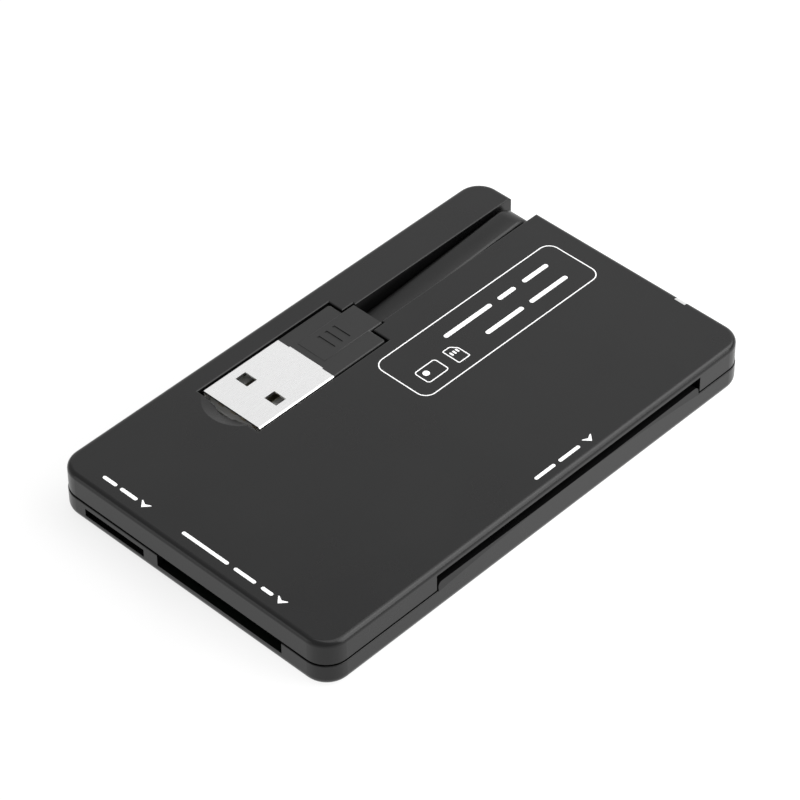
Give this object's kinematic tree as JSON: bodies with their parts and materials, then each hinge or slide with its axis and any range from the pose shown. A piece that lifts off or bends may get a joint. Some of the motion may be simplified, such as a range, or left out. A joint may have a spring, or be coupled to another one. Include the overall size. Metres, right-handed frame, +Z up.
{
  "type": "pocket card reader",
  "caption": "Flat pocket card reader: black housing with slots for a chip card and memory cards, and a plug on a flat cable that folds out of its bay.",
  "frame": {"origin": "middle of the underside, on the surface that the reader lies on", "axes": "+X along the length to the end where the cable folds over, +Y to the side with the plug bay, +Z up"},
  "size_m": [0.0892, 0.0548, 0.0083],
  "materials": {
    "shell_black": "fine matt moulding",
    "boot_black": "satin",
    "cable_black": "satin",
    "light_white": "translucent white",
    "plug_steel": "bright plated",
    "tongue_white": "plain",
    "contact_gold": "gold plated",
    "board_green": "solder resist",
    "socket_plastic": "plain",
    "socket_steel": "plated",
    "chip_black": "moulded",
    "capacitor_tan": "fired",
    "wire_grey": "plain"
  },
  "bodies": {
    "housing": {"upper_shell": "shell_black", "lower_shell": "shell_black", "light_pipe": "light_white", "circuit_board": "board_green", "cable": "cable_black", "cable_anchor": "cable_black", "cable_wires": "wire_grey", "smart_contact_block": "socket_plastic", "smart_contact_springs": "contact_gold", "card_switch": "contact_gold", "memory_socket_tray": "socket_plastic", "memory_socket_shield": "socket_steel", "memory_socket_contacts": "contact_gold", "small_socket_base": "socket_plastic", "small_socket_cover": "socket_steel", "small_socket_contacts": "contact_gold", "controller_chip": "chip_black", "card_interface_chip": "chip_black", "crystal": "socket_steel", "status_led": "light_white", "chip_capacitors": "capacitor_tan", "chip_resistors": "chip_black"},
    "plug": {"plug_shell": "plug_steel", "plug_tongue": "tongue_white", "plug_contacts": "contact_gold", "plug_boot": "boot_black"}
  },
  "joints": [
    {"name": "plug_swing", "type": "hinge", "parent": "housing", "child": "plug", "pos_m": [0.04054, 0.01735, 0.00462], "axis": [0, 1, 0], "range_deg": [0, 180], "deforming": ["cable"]}
  ]
}
